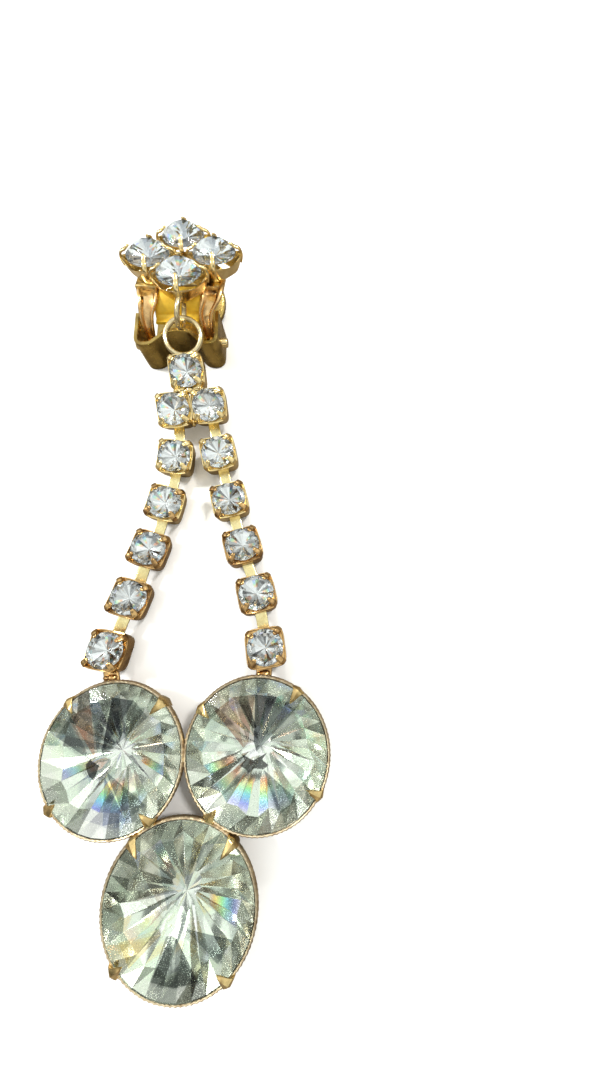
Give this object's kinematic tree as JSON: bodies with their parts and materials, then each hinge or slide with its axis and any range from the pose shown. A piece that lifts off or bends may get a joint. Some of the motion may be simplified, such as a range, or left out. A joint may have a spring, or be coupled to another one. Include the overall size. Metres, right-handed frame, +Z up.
{
  "type": "chandelier clip earring",
  "caption": "Clip-on chandelier earring lying on its back: stone-set top, two rows of square cups and round pointed pendants in gold-coloured metal.",
  "frame": {"origin": "on the surface it lies on, under the middle of the whole earring's bounding box", "axes": "+Z up off the surface, +Y along the earring from the pendants to the clip, +X across it"},
  "size_m": [0.029, 0.0836, 0.0107],
  "materials": {
    "gilt_metal": "polished gold colour",
    "aged_gilt_metal": "gold colour, slightly worn and darker",
    "clear_glass": "clear, cut and foiled behind"
  },
  "bodies": {
    "earring": {"row_cup_left_1": "gilt_metal", "row_cup_left_2": "gilt_metal", "row_cup_left_3": "gilt_metal", "row_cup_left_4": "gilt_metal", "row_link_left_1": "gilt_metal", "row_link_left_2": "gilt_metal", "row_link_left_3": "gilt_metal", "row_link_left_4": "gilt_metal", "row_link_left_5": "gilt_metal", "row_stone_left_1": "clear_glass", "row_stone_left_2": "clear_glass", "row_stone_left_3": "clear_glass", "row_stone_left_4": "clear_glass", "row_stone_left_5": "clear_glass", "row_cup_right_1": "gilt_metal", "row_cup_right_2": "gilt_metal", "row_cup_right_3": "gilt_metal", "row_cup_right_4": "gilt_metal", "row_link_right_1": "gilt_metal", "row_link_right_2": "gilt_metal", "row_link_right_3": "gilt_metal", "row_link_right_4": "gilt_metal", "row_link_right_5": "gilt_metal", "row_stone_right_1": "clear_glass", "row_stone_right_2": "clear_glass", "row_stone_right_3": "clear_glass", "row_stone_right_4": "clear_glass", "row_stone_right_5": "clear_glass", "pendant_setting": "aged_gilt_metal", "rivoli_left": "clear_glass", "rivoli_right": "clear_glass", "rivoli_bottom": "clear_glass", "junction_setting": "gilt_metal", "junction_stone_top": "clear_glass", "junction_stone_left": "clear_glass", "junction_stone_right": "clear_glass", "jump_ring": "gilt_metal", "top_setting": "gilt_metal", "top_stone_north": "clear_glass", "top_stone_east": "clear_glass", "top_stone_south": "clear_glass", "top_stone_west": "clear_glass"},
    "lever": {"clip_lever": "aged_gilt_metal"}
  },
  "joints": [
    {"name": "lever_hinge", "type": "hinge", "parent": "earring", "child": "lever", "pos_m": [0.00044, 0.027, 0.0023], "axis": [-0.9962, 0.0872, 0], "range_deg": [0, 40]}
  ]
}
